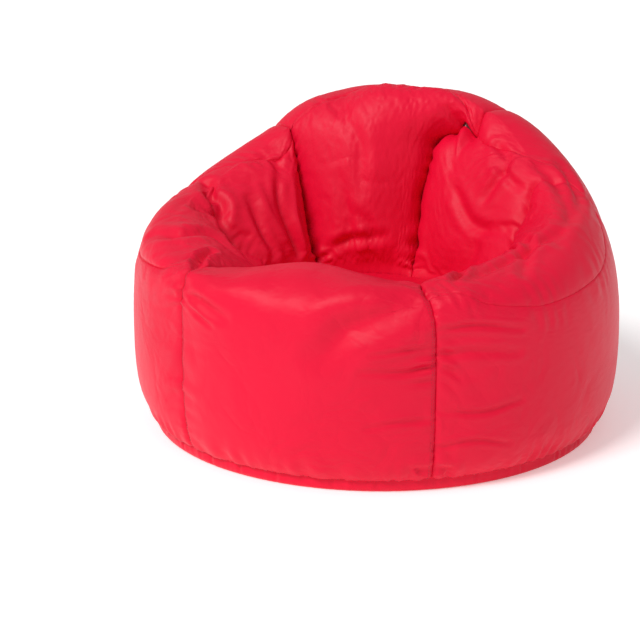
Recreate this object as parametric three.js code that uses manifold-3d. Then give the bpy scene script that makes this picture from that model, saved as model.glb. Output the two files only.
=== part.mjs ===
// Bean bag chair: a round, bead-filled bag with a hollow seat, two rounded arms and a high back.
// Millimetres, +Z up, the chair faces -Y, the origin is under the middle of the base on the floor.
// Angles are degrees round the chair: 0 is the front, 90 is the chair's +X side, 180 is the back.
import * as THREE from 'three';
import { mergeVertices } from 'three/addons/utils/BufferGeometryUtils.js';
import Module from 'manifold-3d';

// ---- driving dimensions ----
const BASE_RADIUS = 447;
const BAND_HEIGHT = 22;
const SEAM_RADIUS = 453;
const SEAM_HEIGHT = 24;
const WALL_RADIUS = 481;
const WIDEST_HEIGHT = 172;
const CORNER = 31.5;
const CENTRE_SHIFT = -30;
const SEAT_HEIGHT = 265;
const SEAT_DISH = 6;

const COVER = 1.1;
const LINER_DEPTH = 7.3;
const LINER = 0.5;
const FILL_DEPTH = 9.2;
const SEAM_GAP = 1.2;

const ZIP_LOW = 80;
const ZIP_HIGH = 370;
const ZIP_RECESS = 3;
const TAPE_WIDTH = 13;
const TAPE = 0.8;
const COIL_WIDTH = 2.2;
const COIL_HEIGHT = 1.6;
const CHAIN_GAP = 0.7;
const SLIDER_LENGTH = 16;
const SLIDER_WIDTH = 11;
const PLATE = 1.2;
const PULL_LENGTH = 36;
const PULL_WIDTH = 7;
const PULL = 1.6;

// ---- the bag's outline, as values round the chair ----
const RIM_HEIGHT = {
  0: 408, 31.5: 392, 62: 405, 95: 450, 118: 507, 148: 597, 168: 620,
  193: 623, 218: 602, 228: 574, 238: 529, 262: 465, 280: 434, 295: 413, 328.5: 390,
};
const RIM_RADIUS = {
  0: 350, 31.5: 405, 62: 385, 95: 355, 118: 335, 148: 310, 193: 290, 232: 310, 262: 348, 295: 388, 328.5: 405,
};
const SHOULDER = { 0: 0.70, 31.5: 0.55, 62: 0.72, 95: 0.80, 193: 0.80, 270: 0.78, 295: 0.72, 328.5: 0.55 };
const POCKET_RADIUS = { 0: 170, 90: 190, 180: 160, 270: 190 };
const POCKET_HEIGHT = { 0: 295, 90: 270, 180: 270, 270: 270 };
// Where the rim seam runs: 1 is the top of the rim, less is on the outer face, more is inside.
const RIM_SEAM = {
  31.5: 0.97, 45: 0.68, 62: 0.60, 85: 0.60, 105: 0.70, 118: 0.86, 128: 1.02, 137: 1.12, 145: 1.13,
  156: 1.08, 168: 1.02, 193: 1.0, 212: 1.03, 230: 1.07, 240: 1.13, 249: 1.08, 257: 0.96, 272: 0.70,
  292: 0.62, 315: 0.72, 328.5: 0.97,
};
const RIM_CREASE_DEPTH = { 31.5: 6, 50: 3, 75: 2, 120: 1, 148: 1, 232: 1, 262: 1, 290: 3, 310: 6, 328.5: 6 };
const RIM_CREASE_WIDTH = { 31.5: 30, 50: 50, 75: 40, 120: 20, 232: 20, 262: 20, 290: 40, 310: 50, 328.5: 30 };

// Folds and seams from the base (0) over the rim (1) to the pocket (2): the angle, depth and half width of each.
const CORNER_FOLD = {
  depth: { 0: 3, 0.85: 3, 1.0: 10, 1.3: 30, 1.6: 24, 2: 3 },
  width: { 0: 18, 0.8: 18, 1: 40, 2: 50 },
};
const BACK_FOLD = {
  depth: { 0: 0, 0.62: 0, 1.0: 22, 1.3: 48, 1.65: 34, 2: 4 },
  width: { 0: 50, 0.9: 50, 1.2: 40, 2: 30 },
};
const FOLDS = [
  { at: { 0: CORNER, 2: CORNER }, ...CORNER_FOLD },
  {
    at: { 0: 112, 1: 112, 1.3: 113, 1.55: 107, 1.8: 76, 2: 56 },
    depth: { 0: 0, 0.9: 0, 1.0: 2, 1.4: 15, 1.65: 18, 2: 3 },
    width: { 0: 50, 1: 30, 1.4: 50, 2: 40 },
  },
  { at: { 0: 148, 1: 150, 1.2: 160, 1.4: 170, 1.6: 172, 2: 169 }, ...BACK_FOLD },
  { at: { 0: 180, 2: 180 }, depth: null, width: { 0: 50, 2: 50 } },
  { at: { 0: 232, 2: 232 }, ...BACK_FOLD },
  {
    at: { 0: 266, 1: 264, 1.2: 266, 1.5: 278, 2: 300 },
    depth: { 0: 0, 0.85: 0, 1.0: 3, 1.25: 10, 1.6: 16, 2: 3 },
    width: { 0: 50, 1: 30, 1.4: 50, 2: 40 },
  },
  { at: { 0: 360 - CORNER, 2: 360 - CORNER }, ...CORNER_FOLD },
  { at: { 0: 360 + CORNER, 2: 360 + CORNER }, ...CORNER_FOLD },
];
const BAY_COLUMNS = [8, 5, 4, 6, 5, 7, 6];
const FRONT_BAY = 6;
const WALL_ROWS = [0, 0.12, 0.26, 0.42, 0.56, 0.70, 0.82, 0.92, 1];
const INNER_ROWS = [0, 0.08, 0.18, 0.30, 0.44, 0.58, 0.72, 0.86, 1];
// Gores of the inside stand out between pairs of folds: first fold, last fold, height.
const GORES = [[0, 1, 20], [1, 2, 30], [2, 4, 58], [4, 5, 32], [5, 6, 22]];

// ---- interpolation ----
const clamp = (x, low, high) => Math.min(high, Math.max(low, x));
const smooth = (t) => {
  const s = clamp(t, 0, 1);
  return s * s * (3 - 2 * s);
};

// Monotone cubic through {angle: value}, closed round the chair.
function around(table, angle) {
  const keys = Object.keys(table).map(Number).sort((a, b) => a - b);
  const n = keys.length;
  const x = (i) => keys[((i % n) + n) % n] + 360 * Math.floor(i / n);
  const y = (i) => table[keys[((i % n) + n) % n]];
  const slope = (i) => (y(i + 1) - y(i)) / (x(i + 1) - x(i));
  const tangent = (i) => {
    const before = slope(i - 1);
    const after = slope(i);
    if (before * after <= 0) return 0;
    const near = x(i) - x(i - 1);
    const far = x(i + 1) - x(i);
    return (3 * near + 3 * far) / ((2 * far + near) / before + (far + 2 * near) / after);
  };
  const a = ((angle % 360) + 360) % 360;
  let i = -1;
  while (x(i + 1) <= a) i += 1;
  const h = x(i + 1) - x(i);
  const t = (a - x(i)) / h;
  return (1 + 2 * t) * (1 - t) ** 2 * y(i) + t * (1 - t) ** 2 * h * tangent(i)
    + t * t * (3 - 2 * t) * y(i + 1) + t * t * (t - 1) * h * tangent(i + 1);
}

// Smooth steps through {station: value}, from the base to the pocket.
function along(table, station) {
  const keys = Object.keys(table).map(Number).sort((a, b) => a - b);
  let i = 0;
  while (i < keys.length - 2 && keys[i + 1] <= station) i += 1;
  const t = (station - keys[i]) / (keys[i + 1] - keys[i]);
  return table[keys[i]] + (table[keys[i + 1]] - table[keys[i]]) * smooth(t);
}

// A quarter ellipse's fall: 1 at 0, 0 from 1 on.
const quarter = (t) => 1 - Math.sqrt(1 - (1 - clamp(t, 0, 1)) ** 2);

// ---- the smooth bag ----
const LOWER = 0.3;

function outline(angle, station) {
  const height = around(RIM_HEIGHT, angle);
  const rim = around(RIM_RADIUS, angle);
  if (station < LOWER) {
    const a = (1 - station / LOWER) * Math.PI / 2;
    return [
      SEAM_RADIUS + (WALL_RADIUS - SEAM_RADIUS) * Math.cos(a) ** 0.9,
      SEAM_HEIGHT + (WIDEST_HEIGHT - SEAM_HEIGHT) * (1 - Math.sin(a) ** 1.15),
    ];
  }
  if (station < 1) {
    const a = (station - LOWER) / (1 - LOWER) * Math.PI / 2;
    const power = around(SHOULDER, angle);
    return [
      rim + (WALL_RADIUS - rim) * Math.cos(a) ** power,
      WIDEST_HEIGHT + (height - WIDEST_HEIGHT) * Math.sin(a) ** power,
    ];
  }
  const pocket = around(POCKET_RADIUS, angle);
  const low = around(POCKET_HEIGHT, angle);
  const t = Math.min(1, station - 1);
  const u = 1 - t;
  const b = [u ** 3, 3 * t * u * u, 3 * t * t * u, t ** 3];
  return [
    b[0] * rim + b[1] * (rim - 0.30 * (rim - pocket)) + b[2] * (pocket + 0.40 * (rim - pocket)) + b[3] * pocket,
    b[0] * height + b[1] * height + b[2] * (low + 0.04 * (height - low)) + b[3] * low,
  ];
}

const shiftAt = (station) => CENTRE_SHIFT * smooth((station - LOWER) / (1 - LOWER));

function skin(angle, station) {
  const [r, z] = outline(angle, station);
  const [r0, z0] = outline(angle, Math.max(station - 0.006, 0));
  const [r1, z1] = outline(angle, Math.min(station + 0.006, 2));
  const run = Math.hypot(r1 - r0, z1 - z0);
  const nr = (z1 - z0) / run;
  const nz = (r0 - r1) / run;
  const c = angle * Math.PI / 180;
  return {
    point: new THREE.Vector3(r * Math.sin(c), -r * Math.cos(c) + shiftAt(station), z),
    normal: new THREE.Vector3(nr * Math.sin(c), -nr * Math.cos(c), nz),
    radius: r,
  };
}

// ---- the back seam is pulled straight so that the zip can run in it ----
function backDepthAt(station) {
  return outline(180, station)[0] + shiftAt(station);
}

function stationAtHeight(height) {
  let low = 0;
  let high = 1;
  for (let i = 0; i < 40; i += 1) {
    const middle = (low + high) / 2;
    if (outline(180, middle)[1] < height) low = middle;
    else high = middle;
  }
  return low;
}

const ZIP_START = new THREE.Vector3(0, backDepthAt(stationAtHeight(ZIP_LOW)), ZIP_LOW);
const ZIP_END = new THREE.Vector3(0, backDepthAt(stationAtHeight(ZIP_HIGH)), ZIP_HIGH);
const ZIP_UP = ZIP_END.clone().sub(ZIP_START).normalize();
const ZIP_OUT = new THREE.Vector3(0, ZIP_UP.z, -ZIP_UP.y);

function backSeamDepth(station) {
  const height = outline(180, station)[1];
  const t = (height - ZIP_LOW) / (ZIP_HIGH - ZIP_LOW);
  const bow = backDepthAt(station) - (ZIP_START.y + (ZIP_END.y - ZIP_START.y) * t);
  return (ZIP_RECESS + Math.max(0, bow)) * (1 - smooth((station - 0.8) / 0.2));
}

// ---- rows of the folded skin ----
function goreHeight(angle, station, row) {
  const from = Math.max(around(RIM_SEAM, angle), 1);
  const v = clamp((station - from) / (2 - from), 0, 1);
  for (const [first, last, height] of GORES) {
    const start = along(FOLDS[first].at, row);
    const end = along(FOLDS[last].at, row);
    if (angle >= start && angle <= end) {
      const u = (angle - start) / (end - start);
      return height * (1 - (2 * u - 1) ** 2) * (4 * v * (1 - v)) ** 0.7;
    }
  }
  return 0;
}

// One row of one bay between two folds, `inset` under the cover's outer face.
function bayRow(bay, inner, v, inset) {
  const row = inner ? 1 + v : v;
  const front = bay === FRONT_BAY;
  const left = FOLDS[bay];
  const right = FOLDS[bay + 1];
  const start = along(left.at, row);
  const end = along(right.at, row);
  const depthOf = (fold) => (fold.depth ? along(fold.depth, row) : backSeamDepth(row));
  const seamAt = (angle) => (front ? 1 : around(RIM_SEAM, angle));
  const stationAt = (angle, t) => (inner ? seamAt(angle) + (2 - seamAt(angle)) * t : seamAt(angle) * t);
  const radii = [start, (start + end) / 2, end].map((a) => skin(a, stationAt(a, v)).radius);
  const span = (end - start) * Math.PI / 180 * (radii[0] + 2 * radii[1] + radii[2]) / 4;
  const depths = [depthOf(left), depthOf(right)];
  const widths = [left, right].map((fold) => Math.min(along(fold.width, row), 0.45 * span));

  const path = [];
  for (let i = 0; i <= 12; i += 1) {
    const f = i / 12 * Math.PI / 2;
    path.push([widths[0] * (1 - Math.cos(f)), depths[0] * (1 - Math.sin(f))]);
  }
  for (let i = 1; i < 24; i += 1) {
    path.push([widths[0] + (span - widths[0] - widths[1]) * i / 24, 0]);
  }
  for (let i = 12; i >= 0; i -= 1) {
    const f = i / 12 * Math.PI / 2;
    path.push([span - widths[1] * (1 - Math.cos(f)), depths[1] * (1 - Math.sin(f))]);
  }
  const lengths = [0];
  for (let i = 1; i < path.length; i += 1) {
    lengths.push(lengths[i - 1] + Math.hypot(path[i][0] - path[i - 1][0], path[i][1] - path[i - 1][1]));
  }
  const total = lengths[lengths.length - 1];
  const side = Math.min((SEAM_GAP + inset) / span, 0.14);
  const edge = (SEAM_GAP + inset) / 330;
  const t = inner ? edge + (1 - 2 * edge) * v : (1 - edge) * v;

  const points = [];
  const columns = BAY_COLUMNS[bay];
  for (let j = 0; j <= columns; j += 1) {
    const want = total * j / columns;
    let i = 1;
    while (i < lengths.length - 1 && lengths[i] < want) i += 1;
    const part = (want - lengths[i - 1]) / (lengths[i] - lengths[i - 1]);
    const x = path[i - 1][0] + (path[i][0] - path[i - 1][0]) * part;
    const fold = path[i - 1][1] + (path[i][1] - path[i - 1][1]) * part;
    const angle = start + (end - start) * (side + (1 - 2 * side) * x / span);
    const here = skin(angle, stationAt(angle, t));
    const bareStation = stationAt(angle, v);
    const bare = skin(angle, bareStation).point;
    const fromRim = bare.distanceTo(skin(angle, seamAt(angle)).point);
    const fromPocket = bare.distanceTo(skin(angle, 2).point);
    const width = around(RIM_CREASE_WIDTH, angle);
    const crease = front ? 0 : around(RIM_CREASE_DEPTH, angle) * quarter(fromRim / width);
    const pocket = 20 * quarter(fromPocket / 60);
    const depth = Math.hypot(fold, crease, pocket) + inset - goreHeight(angle, bareStation, Math.max(row, 1));
    points.push(here.point.addScaledVector(here.normal, -depth));
  }
  return points;
}

// Rows of several bays side by side, as one row of points.
const wideRow = (bays, inner, v, inset) => bays.flatMap((bay) => bayRow(bay, inner, v, inset));
const ALL_BAYS = [0, 1, 2, 3, 4, 5, 6];

// ---- meshes ----
// Points and triangles of a grid; a row with one point closes it.
function lattice(rows, closed) {
  const points = rows.flat();
  const starts = [];
  let count = 0;
  for (const row of rows) {
    starts.push(count);
    count += row.length;
  }
  const faces = [];
  const columns = Math.max(...rows.map((row) => row.length));
  for (let i = 0; i + 1 < rows.length; i += 1) {
    for (let j = 0; j < (closed ? columns : columns - 1); j += 1) {
      const k = (j + 1) % columns;
      const a = starts[i] + j;
      const b = starts[i] + k;
      if (rows[i + 1].length === 1) {
        faces.push([a, b, starts[i + 1]]);
      } else if (rows[i].length === 1) {
        faces.push([starts[i], starts[i + 1] + k, starts[i + 1] + j]);
      } else {
        faces.push([a, b, starts[i + 1] + k]);
        faces.push([a, starts[i + 1] + k, starts[i + 1] + j]);
      }
    }
  }
  return { points, faces };
}

function geometryOf(points, faces) {
  const flat = faces.flat().flatMap((i) => points[i].toArray());
  const geometry = new THREE.BufferGeometry();
  geometry.setAttribute('position', new THREE.Float32BufferAttribute(flat, 3));
  const welded = mergeVertices(geometry, 1e-4);
  welded.computeVertexNormals();
  return welded;
}

// A closed thin body between two lattices of the same layout.
function shell(outer, inner, keep = () => true) {
  const points = [...outer.points, ...inner.points];
  const shift = outer.points.length;
  const faces = [];
  const edges = new Map();
  for (const [a, b, c] of outer.faces) {
    const middle = outer.points[a].clone().add(outer.points[b]).add(outer.points[c]).divideScalar(3);
    if (!keep(middle)) continue;
    faces.push([a, b, c], [a + shift, c + shift, b + shift]);
    for (const [p, q] of [[a, b], [b, c], [c, a]]) edges.set(`${p},${q}`, [p, q]);
  }
  for (const [p, q] of edges.values()) {
    if (edges.has(`${q},${p}`)) continue;
    faces.push([q, p, p + shift], [q, p + shift, q + shift]);
  }
  return geometryOf(points, faces);
}

function wallRows(bays, inset) {
  return WALL_ROWS.map((v) => wideRow(bays, false, v, inset));
}

function innerRows(bays, inset) {
  return INNER_ROWS.map((v) => wideRow(bays, true, v, inset));
}

// Rows from the pocket's edge to the middle of the seat.
function seatRows(inset, margin) {
  const edge = wideRow(ALL_BAYS, true, 1, inset);
  const middle = new THREE.Vector3(0, CENTRE_SHIFT, SEAT_HEIGHT - SEAT_DISH - inset);
  const rim = edge.map((p) => {
    const q = p.clone();
    q.z = SEAT_HEIGHT - inset - 12;
    const out = q.clone().sub(middle);
    out.z = 0;
    return q.addScaledVector(out.normalize(), -margin);
  });
  const ring = (t) => rim.map((p) => {
    const q = p.clone().lerp(middle, t);
    q.z += 14 * Math.sin(Math.PI * t);
    return q;
  });
  return [rim, ring(0.35), ring(0.7), [middle]];
}

// Rows from the middle of the floor out into the base and up to the first wall row.
function floorRows(inset) {
  const angles = wideRow(ALL_BAYS, false, 0, inset).map((p) => Math.atan2(p.y, p.x));
  const circle = (r, z) => angles.map((a) => new THREE.Vector3(r * Math.cos(a), r * Math.sin(a), z));
  const lift = inset - LINER_DEPTH + 2.4;
  return [
    [new THREE.Vector3(0, 0, lift)],
    circle(BASE_RADIUS - 10 - inset, lift),
    circle(BASE_RADIUS - 0.6 - inset, lift + 8),
    circle(BASE_RADIUS - inset, BAND_HEIGHT + 0.8 + (inset - LINER_DEPTH) * 0.8),
  ];
}

function fabric(hex) {
  return new THREE.MeshStandardMaterial({ color: hex, roughness: 0.55, metalness: 0 });
}

const chair = new THREE.Group();
chair.name = 'bean_bag_chair';

function add(name, geometry, material, slot) {
  const mesh = new THREE.Mesh(geometry, material);
  mesh.name = name;
  mesh.material.name = slot;
  chair.add(mesh);
  return mesh;
}

// ---- booleans ----
const wasm = await Module();
wasm.setup();

function toManifold(geometry) {
  const bare = new THREE.BufferGeometry();
  bare.setAttribute('position', geometry.getAttribute('position'));
  if (geometry.index) bare.setIndex(geometry.index);
  const welded = mergeVertices(bare, 1e-4);
  return new wasm.Manifold(new wasm.Mesh({
    numProp: 3,
    vertProperties: new Float32Array(welded.getAttribute('position').array),
    triVerts: new Uint32Array(welded.index.array),
  }));
}

function fromManifold(solid) {
  const mesh = solid.getMesh();
  const geometry = new THREE.BufferGeometry();
  geometry.setAttribute('position', new THREE.Float32BufferAttribute(mesh.vertProperties, 3));
  geometry.setIndex(new THREE.Uint32BufferAttribute(mesh.triVerts, 1));
  const flat = geometry.toNonIndexed();
  flat.computeVertexNormals();
  return flat;
}

// A box along the zip: across, outwards and upwards ranges measured from the zip's lower end.
function zipBox(across, out, up) {
  const box = new THREE.BoxGeometry(across[1] - across[0], out[1] - out[0], up[1] - up[0]);
  box.translate((across[0] + across[1]) / 2, (out[0] + out[1]) / 2, (up[0] + up[1]) / 2);
  const basis = new THREE.Matrix4().makeBasis(new THREE.Vector3(1, 0, 0), ZIP_OUT, ZIP_UP);
  basis.setPosition(ZIP_START);
  box.applyMatrix4(basis);
  return box;
}

// ---- cover ----
const red = () => fabric(0xf0304f);
const ZIP_LENGTH = ZIP_START.distanceTo(ZIP_END);
const slot = toManifold(zipBox([-TAPE_WIDTH - 1.2, TAPE_WIDTH + 1.2], [-12, 12], [-2, ZIP_LENGTH + 2]));

function sidePanel(name, bays) {
  const rows = (inset) => lattice(wallRows(bays, inset), false);
  const whole = toManifold(shell(rows(0), rows(COVER)));
  add(name, fromManifold(whole.subtract(slot)), red(), 'cover');
}

function innerPanel(name, bays) {
  const rows = (inset) => lattice(innerRows(bays, inset), false);
  add(name, shell(rows(0), rows(COVER)), red(), 'cover');
}

const band = [
  [0, 0], [BASE_RADIUS - 9, 0], [BASE_RADIUS - 4, 1], [BASE_RADIUS - 1, 5], [BASE_RADIUS, BAND_HEIGHT],
  [BASE_RADIUS - COVER, BAND_HEIGHT], [BASE_RADIUS - 1 - COVER, 6], [BASE_RADIUS - 4.6 - COVER, 2.2],
  [BASE_RADIUS - 9, COVER], [0, COVER],
];
const base = new THREE.LatheGeometry(band.map(([r, z]) => new THREE.Vector2(r, z)), 48);
base.rotateX(Math.PI / 2);
add('base_panel', base, red(), 'cover');

sidePanel('right_side_panel', [0, 1, 2]);
sidePanel('left_side_panel', [3, 4, 5]);
const frontRows = (inset) => lattice(
  [...wallRows([FRONT_BAY], inset), ...innerRows([FRONT_BAY], inset)],
  false,
);
add('front_panel', shell(frontRows(0), frontRows(COVER)), red(), 'cover');
innerPanel('inner_right_panel', [0, 1]);
innerPanel('inner_back_panel', [2, 3]);
innerPanel('inner_left_panel', [4, 5]);
const seat = (inset) => lattice(seatRows(inset, 5), true);
add('seat_panel', shell(seat(0), seat(COVER)), red(), 'cover');

// ---- liner and filling ----
const closedRows = (inset) => lattice([
  ...floorRows(inset), ...wallRows(ALL_BAYS, inset), ...innerRows(ALL_BAYS, inset), ...seatRows(inset, 2),
], true);
const linerSlit = (p) => !(Math.abs(p.x) < 6 && p.y > 300 && p.z > ZIP_LOW && p.z < ZIP_HIGH);
const liner = shell(closedRows(LINER_DEPTH), closedRows(LINER_DEPTH + LINER), linerSlit);
add('inner_liner', liner, fabric(0xf2f1ec), 'liner');
const fill = closedRows(FILL_DEPTH);
const fillMaterial = new THREE.MeshStandardMaterial({ color: 0xfafafa, roughness: 0.9, metalness: 0 });
add('bead_fill', geometryOf(fill.points, fill.faces), fillMaterial, 'beads');

// ---- zip ----
const dark = () => new THREE.MeshStandardMaterial({ color: 0xc0263f, roughness: 0.6, metalness: 0 });
const metal = () => new THREE.MeshStandardMaterial({ color: 0x9a9ca0, roughness: 0.35, metalness: 0.8 });
const FACE = -ZIP_RECESS;
for (const [side, name] of [[1, 'right'], [-1, 'left']]) {
  const across = (near, far) => (side > 0 ? [near, far] : [-far, -near]);
  const tape = zipBox(across(CHAIN_GAP, TAPE_WIDTH + 0.8), [FACE - TAPE, FACE], [-1.5, ZIP_LENGTH + 1.5]);
  add(`zip_tape_${name}`, tape, dark(), 'zip_tape');
  const coil = zipBox(across(CHAIN_GAP, CHAIN_GAP + COIL_WIDTH), [FACE + 0.05, FACE + COIL_HEIGHT], [6, ZIP_LENGTH - 6]);
  add(`zip_coil_${name}`, coil, dark(), 'zip_coil');
}
const STOP = [-3.4, 3.4];
add('zip_bottom_stop', zipBox(STOP, [FACE + 0.05, FACE + 2.4], [1, 5.7]), metal(), 'zip_metal');
add('zip_top_stop', zipBox(STOP, [FACE + 0.05, FACE + 2.4], [ZIP_LENGTH - 5.7, ZIP_LENGTH - 1]), metal(), 'zip_metal');

const half = SLIDER_WIDTH / 2;
const top = FACE + COIL_HEIGHT + 0.35;
const sliderLow = 6.3;
const sliderHigh = sliderLow + SLIDER_LENGTH;
const HINGE_OUT = top + PLATE + 1.9;
const HINGE_UP = sliderLow + 10;
const pin = 0.8;
function join(parts) {
  return parts.map(toManifold).reduce((a, b) => a.add(b));
}
const axle = new THREE.CylinderGeometry(pin, pin, 5.2, 16);
axle.rotateZ(Math.PI / 2);
axle.translate(0, HINGE_OUT, HINGE_UP);
const zipBasis = new THREE.Matrix4().makeBasis(new THREE.Vector3(1, 0, 0), ZIP_OUT, ZIP_UP).setPosition(ZIP_START);
axle.applyMatrix4(zipBasis);
const slider = join([
  zipBox([-half, half], [top, top + PLATE], [sliderLow, sliderHigh]),
  zipBox([-half, half], [FACE - TAPE - 0.35 - PLATE, FACE - TAPE - 0.35], [sliderLow, sliderHigh]),
  zipBox([-0.35, 0.35], [FACE - TAPE - 0.6, top + 0.2], [sliderHigh - 5, sliderHigh - 1]),
  zipBox([-half, -half + 1.2], [FACE + 0.4, top + 0.2], [sliderLow, sliderHigh]),
  zipBox([half - 1.2, half], [FACE + 0.4, top + 0.2], [sliderLow, sliderHigh]),
  zipBox([-2.8, -1.8], [top + PLATE - 0.2, HINGE_OUT + 1.4], [HINGE_UP - 1.6, HINGE_UP + 1.6]),
  zipBox([1.8, 2.8], [top + PLATE - 0.2, HINGE_OUT + 1.4], [HINGE_UP - 1.6, HINGE_UP + 1.6]),
  axle,
]);
add('zip_slider', fromManifold(slider), metal(), 'zip_metal');

const eye = new THREE.CylinderGeometry(1.75, 1.75, 3.0, 20);
eye.rotateZ(Math.PI / 2);
eye.translate(0, HINGE_OUT, HINGE_UP);
eye.applyMatrix4(zipBasis);
const eyeHole = new THREE.CylinderGeometry(pin + 0.08, pin + 0.08, 4, 20);
eyeHole.rotateZ(Math.PI / 2);
eyeHole.translate(0, HINGE_OUT, HINGE_UP);
eyeHole.applyMatrix4(zipBasis);
const lowOut = HINGE_OUT - PULL / 2;
const pull = join([
  eye,
  zipBox([-1.5, 1.5], [lowOut, lowOut + PULL], [HINGE_UP - 6, HINGE_UP]),
  zipBox([-PULL_WIDTH / 2, PULL_WIDTH / 2], [lowOut, lowOut + PULL], [HINGE_UP - PULL_LENGTH, HINGE_UP - 5]),
]).subtract(toManifold(eyeHole));
add('zip_pull', fromManifold(pull), metal(), 'zip_metal');

export default chair;
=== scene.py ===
# %% [markdown]
# A bean bag chair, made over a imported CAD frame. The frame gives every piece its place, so
# the look is built on top of it without fitting.

# %% Load the frame
import math

import bmesh
import bpy
import numpy as np
from mathutils import Matrix, Vector


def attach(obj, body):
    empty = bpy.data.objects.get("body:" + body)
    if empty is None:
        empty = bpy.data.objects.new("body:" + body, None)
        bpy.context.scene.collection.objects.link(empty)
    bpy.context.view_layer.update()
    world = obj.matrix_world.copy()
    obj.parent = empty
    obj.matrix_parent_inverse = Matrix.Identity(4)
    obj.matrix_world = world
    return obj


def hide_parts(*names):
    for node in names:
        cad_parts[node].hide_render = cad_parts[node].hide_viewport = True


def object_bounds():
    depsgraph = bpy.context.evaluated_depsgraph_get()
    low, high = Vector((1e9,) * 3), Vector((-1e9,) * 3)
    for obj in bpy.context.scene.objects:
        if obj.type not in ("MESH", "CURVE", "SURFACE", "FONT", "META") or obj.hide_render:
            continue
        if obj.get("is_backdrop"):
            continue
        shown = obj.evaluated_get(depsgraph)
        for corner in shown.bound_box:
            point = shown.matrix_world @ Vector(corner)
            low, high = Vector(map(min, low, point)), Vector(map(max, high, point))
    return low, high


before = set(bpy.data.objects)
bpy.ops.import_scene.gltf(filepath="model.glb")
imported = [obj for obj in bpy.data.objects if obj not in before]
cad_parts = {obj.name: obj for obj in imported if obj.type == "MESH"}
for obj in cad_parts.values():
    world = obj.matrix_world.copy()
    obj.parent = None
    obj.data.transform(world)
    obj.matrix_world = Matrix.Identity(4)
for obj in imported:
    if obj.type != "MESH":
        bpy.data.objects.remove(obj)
cad_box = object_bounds()
print("CAD box", [[round(c, 4) for c in corner] for corner in cad_box])

# %% [markdown]
# The camera comes before the pieces. It looks down a little on the chair from the front, and from
# the chair's +X side. A long lens from about four metres keeps the
# perspective gentle, as in a catalogue picture.
# The place is worked out from three directions: back towards the camera, to the right and up.

# %% Camera
TURN, TILT = math.radians(20), math.radians(17)
DISTANCE, ASIDE, LIFT = 3.934, 0.114, 0.1862

towards = Vector((math.sin(TURN) * math.cos(TILT), -math.cos(TURN) * math.cos(TILT), math.sin(TILT)))
rightwards = Vector((math.cos(TURN), math.sin(TURN), 0))
upwards = towards.cross(rightwards)

lens = bpy.data.cameras.new("camera")
lens.lens = 106.9
lens.sensor_width = 36
camera = bpy.data.objects.new("camera", lens)
bpy.context.scene.collection.objects.link(camera)
axes = Matrix((rightwards, upwards, towards)).transposed()
camera.matrix_world = Matrix.Translation(towards * DISTANCE - rightwards * ASIDE + upwards * LIFT) @ axes.to_4x4()
bpy.context.scene.camera = camera
print("camera at", [round(c, 3) for c in camera.matrix_world.translation])

# %% [markdown]
# The outline of the bag is a handful of values round the chair: how high the rim is, how far out,
# how square its shoulder is, and where the seam along the rim runs. Angles are in degrees: 0 is the
# front, 90 is the chair's +X side. A monotone cubic joins the values, so no value overshoots.

# %% Outline of the bag
BASE_RADIUS, SEAM_RADIUS, WALL_RADIUS = 0.447, 0.453, 0.481
SEAM_HEIGHT, WIDEST_HEIGHT = 0.024, 0.172
CORNER = 31.5
CENTRE_SHIFT = -0.030
LOWER = 0.3

RIM_HEIGHT = {
    0: 0.408, 31.5: 0.392, 62: 0.405, 95: 0.450, 118: 0.507, 148: 0.597, 168: 0.620,
    193: 0.623, 218: 0.602, 228: 0.574, 238: 0.529, 262: 0.465, 280: 0.434, 295: 0.413, 328.5: 0.390,
}
RIM_RADIUS = {
    0: 0.350, 31.5: 0.405, 62: 0.385, 95: 0.355, 118: 0.335, 148: 0.310,
    193: 0.290, 232: 0.310, 262: 0.348, 295: 0.388, 328.5: 0.405,
}
SHOULDER = {0: 0.70, 31.5: 0.55, 62: 0.72, 95: 0.80, 193: 0.80, 270: 0.78, 295: 0.72, 328.5: 0.55}
POCKET_RADIUS = {0: 0.170, 90: 0.190, 180: 0.160, 270: 0.190}
POCKET_HEIGHT = {0: 0.295, 90: 0.270, 180: 0.270, 270: 0.270}
RIM_SEAM = {
    31.5: 0.97, 45: 0.68, 62: 0.60, 85: 0.60, 105: 0.70, 118: 0.90, 126: 1.08, 134: 1.20, 142: 1.26, 150: 1.24,
    158: 1.10, 168: 1.00, 193: 1.0, 212: 1.04, 228: 1.07, 236: 1.22, 241: 1.23, 249: 1.10, 257: 0.96, 272: 0.70,
    292: 0.62, 315: 0.72, 328.5: 0.97,
}
RIM_CREASE_DEPTH = {
    31.5: 0, 50: 0.001, 75: 0.001, 120: 0.001, 148: 0.001, 232: 0.001, 262: 0.001, 290: 0.003, 310: 0.006,
    328.5: 0,
}
RIM_CREASE_WIDTH = {31.5: 0.03, 50: 0.05, 75: 0.04, 120: 0.02, 232: 0.02, 262: 0.02, 290: 0.04, 310: 0.05, 328.5: 0.03}


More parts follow.
